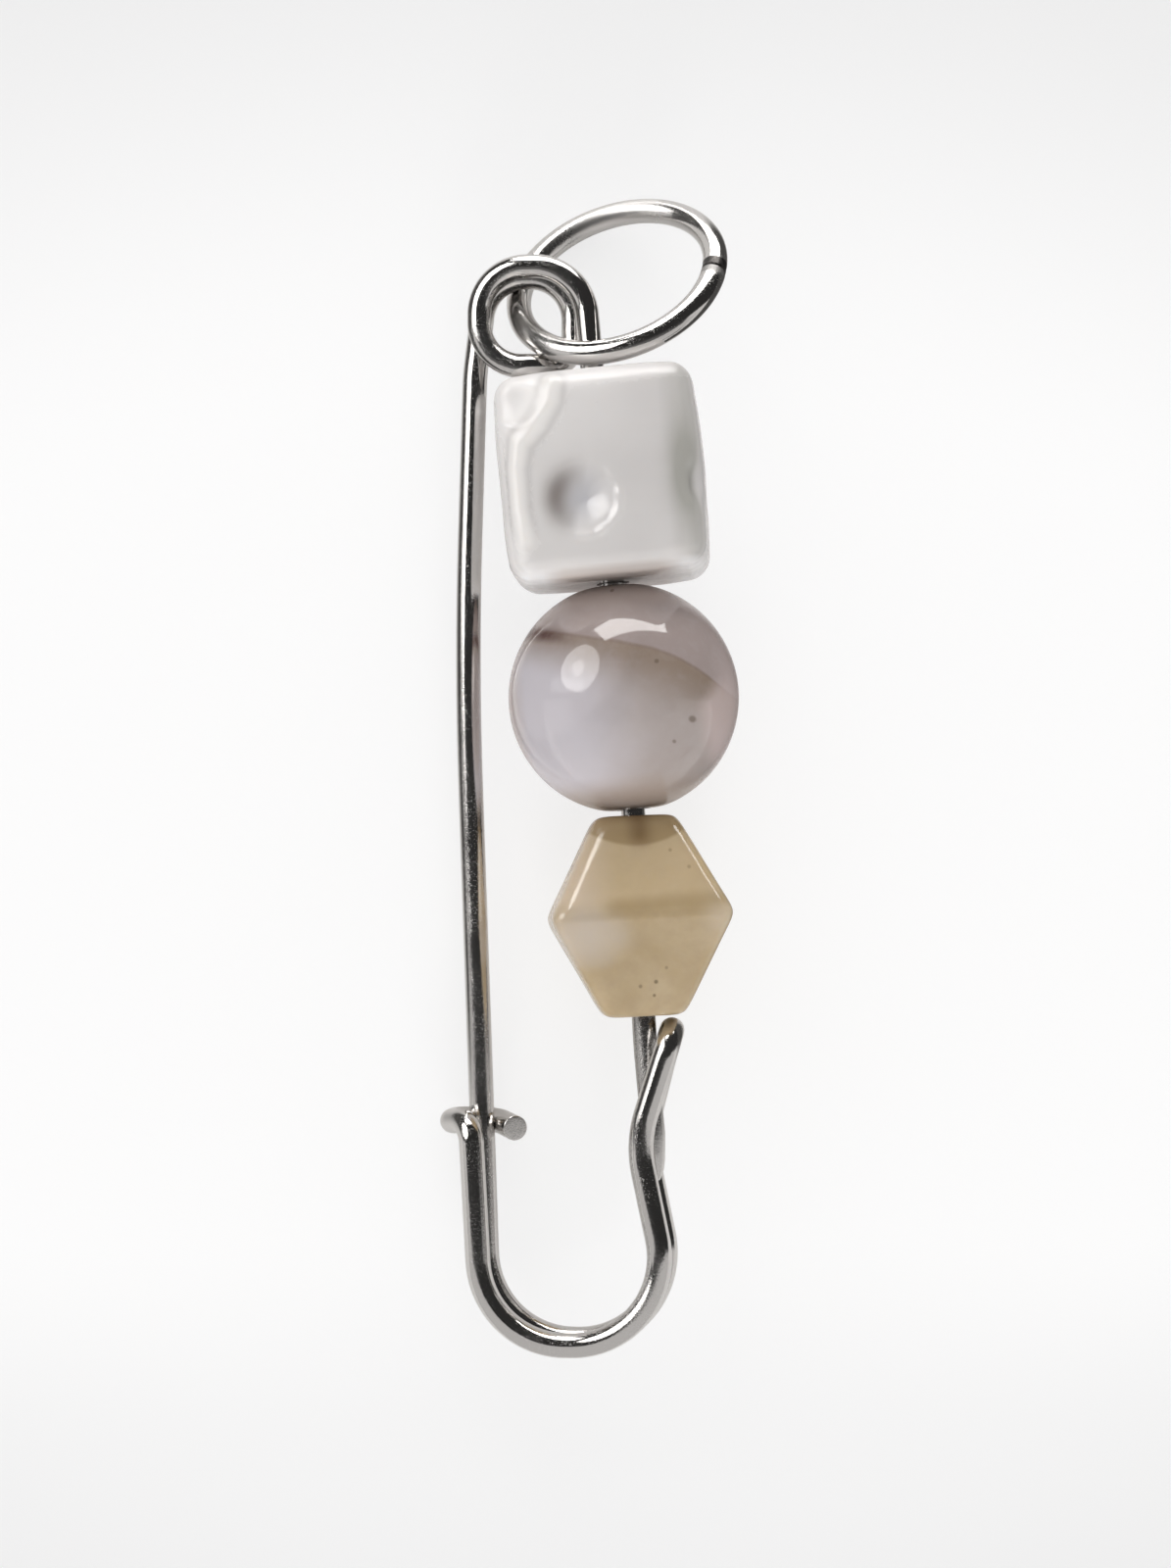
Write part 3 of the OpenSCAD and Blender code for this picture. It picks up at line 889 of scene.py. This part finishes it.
# round agate, in its own millimetres
agate = {
    "radius": 6.0, "flat": 2.6, "rows": 200, "columns": 320, "seat": (0.0, beads["upperLean"], 0),
    # how crisp the edges of the flats are; unevenness: height, seed, wave length
    "crispness": 90.0, "uneven": (0.008, 3, 9.0), "driftScale": 0.30, "fineScale": 1.6,
    # upper face of the layer: its height, its slope, where it falls away and how fast, its wander
    "layerY": 2.70, "slope": 0.27, "fallFrom": 1.9, "fall": 0.108, "wander": 0.35,
    "layerReach": (2.5, 3.6), "milky": (0.58, 0.55, 0.585), "warmWander": 3.0,
    # tints: colour, share, where it sets in and where it is full
    "warm": ((0.44, 0.385, 0.365), 1.0, -2.2, 2.8), "amberFoot": ((0.44, 0.36, 0.31), 0.85, -4.1, -5.4),
    "taupeLayer": ((0.26, 0.195, 0.145), 0.85, 1.0, 0.0), "upper": ((0.37, 0.31, 0.295), 1.0, -0.10, 0.12),
    # painted light: the top paler, next to the cube
    "topRim": ((0.55, 0.46, 0.43), 0.8, 3.9, 5.3), "layerLine": ((0.20, 0.14, 0.11), 0.35, 0.16, 0.0),
    "brownTongue": ((0.08, 0.03, 0.025), 0.92, 0.62, 0.0), "tongueAt": -0.16, "tongueEnd": (-1.1, -3.5),
    # painted rim light: the right rim paler pink, more so low down
    "leftRim": ((0.50, 0.43, 0.40), 0.7, -4.4, -5.6), "pinkRim": ((0.64, 0.53, 0.515), 0.7, 4.9, 5.9),
    "cloudy": (0.56, 0.53, 0.55), "cloudShare": 0.12, "speckColour": (0.16, 0.12, 0.09),
    "specks": [(2.6, 1.35, 0.16, 0.7), (4.0, -1.7, 0.24, 0.7), (3.0, -2.75, 0.13, 0.6),
               (0.3, 5.4, 0.15, 0.6)],
    "rough": (0.05, 0.10), "relief": 0.05, "reliefHeight": 0.00003,
    "sockets": {"IOR": 1.54, "Subsurface Weight": 0.35, "Subsurface Radius": (1.0, 0.85, 0.8),
                "Subsurface Scale": 0.0014},
}


def agateSkin():
    # radius(a) = the lesser of the ball's and the flat's reach, softened:
    # (R^-p + (h/|cos a|)^-p)^(-1/p)
    R, p = agate["radius"], agate["crispness"]
    flat = math.sqrt(R * R - (agate["flat"] / 2) ** 2)
    way = beadDirections(agate["rows"], agate["columns"], flat)
    reach = flat / np.maximum(np.abs(way[..., 1]), 1e-3)
    height, seed, wave = agate["uneven"]
    radius = (R ** -p + reach ** -p) ** (-1 / p) + height * ripple(way * R, seed, wave)
    return way * radius[..., None]


def agateFinish():
    # milky, warmer to the right, with a taupe layer under a darker upper part, and paler rims; the pink
    # right rim and the paler top are painted light
    material, tree, shader, place = newFinish("greyAgate")
    own, parts = localPlace(tree, place, *agate["seat"])
    x, y, _ = parts
    drift, fine = noise(tree, own, agate["driftScale"], 3), noise(tree, own, agate["fineScale"], 4, 0.6)
    wander = minus(tree, drift, 0.5)
    # how far above the layer's upper face, which slopes down and then falls to the right
    past = maths(tree, "MAXIMUM", minus(tree, x, agate["fallFrom"]), 0.0)
    fall = plus(tree, times(tree, past, past, agate["fall"]), times(tree, x, agate["slope"]))
    above = plus(tree, minus(tree, y, agate["layerY"]), fall, times(tree, wander, agate["wander"]))
    # how far down in the layer: 0 at its upper face and 1 where it has faded out
    reach = ranged(tree, x, -4.0, 4.0, *agate["layerReach"])
    down = maths(tree, "DIVIDE", times(tree, above, -1.0), reach)
    rimX = plus(tree, x, softEdge(tree, y, 0.6, -1.4, 0.9))
    sideways = plus(tree, x, times(tree, wander, agate["warmWander"]))
    body = agate["milky"]
    for tint, along, *within in (
        ("warm", sideways), ("amberFoot", y), ("taupeLayer", down), ("upper", above), ("topRim", y),
        ("layerLine", awayFrom(tree, above, 0.0)),
        ("brownTongue", awayFrom(tree, above, agate["tongueAt"]), softEdge(tree, x, *agate["tongueEnd"])),
        ("leftRim", x), ("pinkRim", rimX, ranged(tree, y, -1.0, 1.4, 1.0, 0.35, True)),
    ):
        body = tinted(tree, body, agate[tint], along, *within)
    body = blended(tree, ranged(tree, fine, 0.45, 0.8, 0.0, agate["cloudShare"]), body, agate["cloudy"])
    body = specked(tree, body, parts, agate["specks"], agate["speckColour"])
    stoneSurface(tree, shader, body, fine, agate)
    return material


agatePiece = beadPiece("roundAgate", withBore(agateSkin()), agate["seat"], {}, agateFinish())
print("stage: round agate")

# four-sided tan stone, wide at its belt, in its own millimetres
spindle = {
    "belt": 9.5, "end": 4.2, "tall": 10.4, "rows": 220, "columns": 320,
    "seat": (-11.35, beads["lowerLean"], 11.4),
    # how crisp the edges are between sides and between rows; unevenness: height, seed, wave length
    "sideCrispness": 13.0, "rowCrispness": 26.0, "uneven": (0.02, 12, 7.0),
    "cloudScale": 0.22, "fineScale": 1.4, "tan": (0.44, 0.335, 0.195), "paleTan": (0.53, 0.42, 0.27),
    "brownGrain": (0.40, 0.30, 0.19), "grainShare": 0.35,
    # milky cloud: its middle, how much flatter than wide it is, and how ragged
    "milkAt": (-3.1, -0.75), "milkFlat": 1.7, "milkRagged": 9.0,
    # tints: colour, share, where it sets in and where it is full
    "upperHalf": ((0.58, 0.455, 0.29), 0.5, 0.2, 1.0), "milk": ((0.60, 0.53, 0.46), 0.85, 8.5, -3.0),
    "leftHaze": ((0.66, 0.56, 0.46), 0.55, -0.9, -3.4), "hazeFrom": (0.2, 1.2),
    "rightBelt": ((0.62, 0.53, 0.41), 0.7, 2.4, 4.2), "beltReach": (2.2, 0.0),
    # painted shade: a darker band along the belt, where the upper and lower rows meet
    "beltBand": ((0.33, 0.24, 0.12), 0.5, 0.75, 0.0), "bandY": 0.55, "bandSlope": 0.05,
    "bandFrom": (-2.6, -1.2),
    # painted dark cap under the flat top: the flat end and, in its middle, the needle, seen through the
    # stone
    "topEdge": ((0.34, 0.24, 0.12), 0.75, 3.5, 3.75), "topBow": 0.12,
    "darkCore": ((0.20, 0.125, 0.06), 0.75, 0.95, 0.0), "coreX": 0.1, "coreFrom": (3.2, 4.2),
    "speckColour": (0.14, 0.10, 0.05),
    "specks": [(0.55, -3.4, 0.15, 0.75), (0.45, -4.1, 0.12, 0.7), (-0.25, -3.6, 0.14, 0.55),
               (1.1, -2.7, 0.12, 0.45), (2.5, 2.4, 0.14, 0.35), (1.6, 3.3, 0.13, 0.35)],
    "rough": (0.07, 0.15), "relief": 0.06, "reliefHeight": 0.00004,
    "sockets": {"IOR": 1.54, "Subsurface Weight": 0.4, "Subsurface Radius": (1.0, 0.8, 0.5),
                "Subsurface Scale": 0.0016},
}


def spindleSkin():
    # reach to the nearest face plane as powers' sums: first the four sides of the upper and of the
    # lower row, softly, then the two rows and the two flat ends, more tightly
    halfBelt, halfEnd, halfTall = spindle["belt"] / 2, spindle["end"] / 2, spindle["tall"] / 2
    rise = np.array([halfTall, halfBelt - halfEnd]) / math.hypot(halfTall, halfBelt - halfEnd)
    way = beadDirections(spindle["rows"], spindle["columns"], halfTall)
    soft, tight = spindle["sideCrispness"], spindle["rowCrispness"]
    rows = []
    for up in (1, -1):
        sides = np.array([(sx * rise[0], up * rise[1], sz * rise[0])
                          for sx, sz in ((1, 0), (-1, 0), (0, 1), (0, -1))])
        share = np.clip(way @ sides.T, 0, None) / (halfBelt * rise[0])
        rows.append((share ** soft).sum(-1) ** (1 / soft))
        rows.append(np.clip(up * way[..., 1], 0, None) / halfTall)
    skin = way / ((np.array(rows) ** tight).sum(0) ** (1 / tight))[..., None]
    height, seed, wave = spindle["uneven"]
    return skin + way * (height * ripple(skin, seed, wave))[..., None]


def tanStoneFinish():
    # cloudy tan, paler above the belt, with a milky cloud at the left, painted shade along the belt, and a
    # painted dark image of the flat end and the needle at the top
    material, tree, shader, place = newFinish("tanStone")
    own, parts = localPlace(tree, place, *spindle["seat"])
    x, y, _ = parts
    clouds = noise(tree, own, spindle["cloudScale"], 4, 0.55, 0.3)
    fine = noise(tree, own, spindle["fineScale"], 5, 0.6)
    # squared distance from the milky cloud's middle, made ragged by the clouds
    ax, ay = minus(tree, x, spindle["milkAt"][0]), minus(tree, y, spindle["milkAt"][1])
    milk = plus(tree, times(tree, ax, ax), times(tree, ay, ay, spindle["milkFlat"]),
                times(tree, minus(tree, clouds, 0.5), spindle["milkRagged"]))
    sloped = minus(tree, y, times(tree, x, spindle["bandSlope"]))
    bowed = minus(tree, y, times(tree, x, x, spindle["topBow"]))
    body = blended(tree, ranged(tree, clouds, 0.36, 0.66, 0.0, 1.0), spindle["tan"], spindle["paleTan"])
    grain = ranged(tree, fine, 0.42, 0.72, 0.0, spindle["grainShare"])
    body = blended(tree, grain, body, spindle["brownGrain"])
    fromBelt, fromBand = awayFrom(tree, y, 0.0), awayFrom(tree, sloped, spindle["bandY"])
    for tint, along, *within in (
        ("upperHalf", y), ("milk", milk), ("leftHaze", x, softEdge(tree, y, *spindle["hazeFrom"])),
        ("rightBelt", x, softEdge(tree, fromBelt, *spindle["beltReach"])),
        ("beltBand", fromBand, softEdge(tree, x, *spindle["bandFrom"])), ("topEdge", bowed),
        ("darkCore", awayFrom(tree, x, spindle["coreX"]), softEdge(tree, y, *spindle["coreFrom"])),
    ):
        body = tinted(tree, body, spindle[tint], along, *within)
    body = specked(tree, body, parts, spindle["specks"], spindle["speckColour"])
    stoneSurface(tree, shader, body, fine, spindle)
    return material


spindlePiece = beadPiece("fourSidedStone", withBore(spindleSkin()), spindle["seat"], {}, tanStoneFinish())
print("stage: four-sided stone")

# what each piece stands for and what it rides on
for piece, node, body, slotName in (
    (pinWire, "pin_frame", "pin", "steel"),
    (ringWire, "jump_ring", "pin", "steel"),
    (needleWire, "pin_needle", "needle", "steel"),
    (cubePiece, "cube_bead", "needle", "white_glaze"),
    (agatePiece, "round_bead", "needle", "grey_stone"),
    (spindlePiece, "spindle_bead", "needle", "tan_stone"),
):
    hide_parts(node)
    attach(piece, body)
